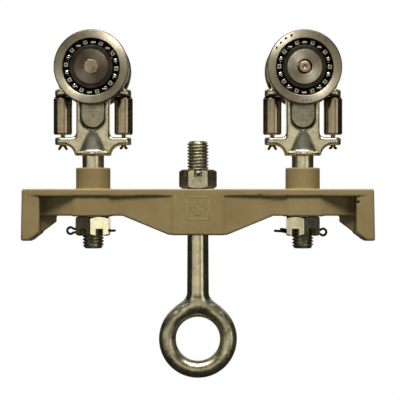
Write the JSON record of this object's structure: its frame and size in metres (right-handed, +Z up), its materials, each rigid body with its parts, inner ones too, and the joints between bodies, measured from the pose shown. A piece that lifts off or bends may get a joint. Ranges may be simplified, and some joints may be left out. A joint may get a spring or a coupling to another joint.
{
  "type": "tandem enclosed-track hoist trolley",
  "caption": "Load-bar trolley for enclosed track: cast tan bar, swivelling forged bodies with ball-bearing wheels and side guide rollers, and a forged eye bolt for the load.",
  "frame": {"origin": "On the wheels' running line, midway between the two trolleys, in the middle plane of the bar. It lies on the eye bolt's axis.", "axes": "+X along the track towards the right trolley, +Y across the track towards the rear, +Z up"},
  "size_m": [0.254, 0.0418, 0.2512],
  "materials": {
    "bar_paint": "painted",
    "zinc": "satin",
    "wheel_steel": "satin",
    "bearing_steel": "polished",
    "axle_steel": "satin",
    "roller_steel": "satin",
    "cotter_steel": "satin"
  },
  "bodies": {
    "load_bar": {"load_bar": "bar_paint"},
    "left_trolley": {"left_trolley_body": "zinc", "left_wheel_axle": "axle_steel", "left_stud_nut": "zinc", "left_nut_cotter": "cotter_steel", "left_front_inner_ring": "bearing_steel", "left_rear_inner_ring": "bearing_steel", "left_front_hub_washer": "axle_steel", "left_rear_hub_washer": "axle_steel", "left_outer_roller_pin": "cotter_steel", "left_inner_roller_pin": "cotter_steel"},
    "left_front_wheel": {"left_front_wheel_ring": "wheel_steel"},
    "left_front_balls": {"left_front_ball_cage": "bearing_steel"},
    "left_rear_wheel": {"left_rear_wheel_ring": "wheel_steel"},
    "left_rear_balls": {"left_rear_ball_cage": "bearing_steel"},
    "left_outer_roller": {"left_outer_roller": "roller_steel"},
    "left_inner_roller": {"left_inner_roller": "roller_steel"},
    "right_trolley": {"right_trolley_body": "zinc", "right_wheel_axle": "axle_steel", "right_stud_nut": "zinc", "right_nut_cotter": "cotter_steel", "right_front_inner_ring": "bearing_steel", "right_rear_inner_ring": "bearing_steel", "right_front_hub_washer": "axle_steel", "right_rear_hub_washer": "axle_steel", "right_outer_roller_pin": "cotter_steel", "right_inner_roller_pin": "cotter_steel"},
    "right_front_wheel": {"right_front_wheel_ring": "wheel_steel"},
    "right_front_balls": {"right_front_ball_cage": "bearing_steel"},
    "right_rear_wheel": {"right_rear_wheel_ring": "wheel_steel"},
    "right_rear_balls": {"right_rear_ball_cage": "bearing_steel"},
    "right_outer_roller": {"right_outer_roller": "roller_steel"},
    "right_inner_roller": {"right_inner_roller": "roller_steel"},
    "eye_bolt": {"eye_bolt": "zinc", "eye_bolt_nut": "zinc", "eye_bolt_cotter": "cotter_steel"}
  },
  "joints": [
    {"name": "left_trolley_swivel", "type": "hinge", "parent": "load_bar", "child": "left_trolley", "pos_m": [-0.0762, 0, -0.06], "axis": [0, 0, 1], "continuous": true},
    {"name": "left_front_wheel_spin", "type": "hinge", "parent": "left_trolley", "child": "left_front_wheel", "pos_m": [-0.0762, 0, 0.02675], "axis": [0, 1, 0], "continuous": true},
    {"name": "left_front_balls_spin", "type": "hinge", "parent": "left_trolley", "child": "left_front_balls", "pos_m": [-0.0762, 0, 0.02675], "axis": [0, 1, 0], "continuous": true},
    {"name": "left_rear_wheel_spin", "type": "hinge", "parent": "left_trolley", "child": "left_rear_wheel", "pos_m": [-0.0762, 0, 0.02675], "axis": [0, 1, 0], "continuous": true},
    {"name": "left_rear_balls_spin", "type": "hinge", "parent": "left_trolley", "child": "left_rear_balls", "pos_m": [-0.0762, 0, 0.02675], "axis": [0, 1, 0], "continuous": true},
    {"name": "left_outer_roller_spin", "type": "hinge", "parent": "left_trolley", "child": "left_outer_roller", "pos_m": [-0.0983, 0, -0.00765], "axis": [0, 0, 1], "continuous": true},
    {"name": "left_inner_roller_spin", "type": "hinge", "parent": "left_trolley", "child": "left_inner_roller", "pos_m": [-0.0541, 0, -0.00765], "axis": [0, 0, 1], "continuous": true},
    {"name": "right_trolley_swivel", "type": "hinge", "parent": "load_bar", "child": "right_trolley", "pos_m": [0.0762, 0, -0.06], "axis": [0, 0, 1], "continuous": true},
    {"name": "right_front_wheel_spin", "type": "hinge", "parent": "right_trolley", "child": "right_front_wheel", "pos_m": [0.0762, 0, 0.02675], "axis": [0, 1, 0], "continuous": true},
    {"name": "right_front_balls_spin", "type": "hinge", "parent": "right_trolley", "child": "right_front_balls", "pos_m": [0.0762, 0, 0.02675], "axis": [0, 1, 0], "continuous": true},
    {"name": "right_rear_wheel_spin", "type": "hinge", "parent": "right_trolley", "child": "right_rear_wheel", "pos_m": [0.0762, 0, 0.02675], "axis": [0, 1, 0], "continuous": true},
    {"name": "right_rear_balls_spin", "type": "hinge", "parent": "right_trolley", "child": "right_rear_balls", "pos_m": [0.0762, 0, 0.02675], "axis": [0, 1, 0], "continuous": true},
    {"name": "right_outer_roller_spin", "type": "hinge", "parent": "right_trolley", "child": "right_outer_roller", "pos_m": [0.0983, 0, -0.00765], "axis": [0, 0, 1], "continuous": true},
    {"name": "right_inner_roller_spin", "type": "hinge", "parent": "right_trolley", "child": "right_inner_roller", "pos_m": [0.0541, 0, -0.00765], "axis": [0, 0, 1], "continuous": true},
    {"name": "eye_bolt_swivel", "type": "hinge", "parent": "load_bar", "child": "eye_bolt", "pos_m": [0, 0, -0.07], "axis": [0, 0, 1], "continuous": true}
  ],
  "couplings": [
    {"joint": "left_front_balls_spin", "follows": "left_front_wheel_spin", "ratio": 0.588},
    {"joint": "left_rear_balls_spin", "follows": "left_rear_wheel_spin", "ratio": 0.588},
    {"joint": "right_front_balls_spin", "follows": "right_front_wheel_spin", "ratio": 0.588},
    {"joint": "right_rear_balls_spin", "follows": "right_rear_wheel_spin", "ratio": 0.588}
  ]
}
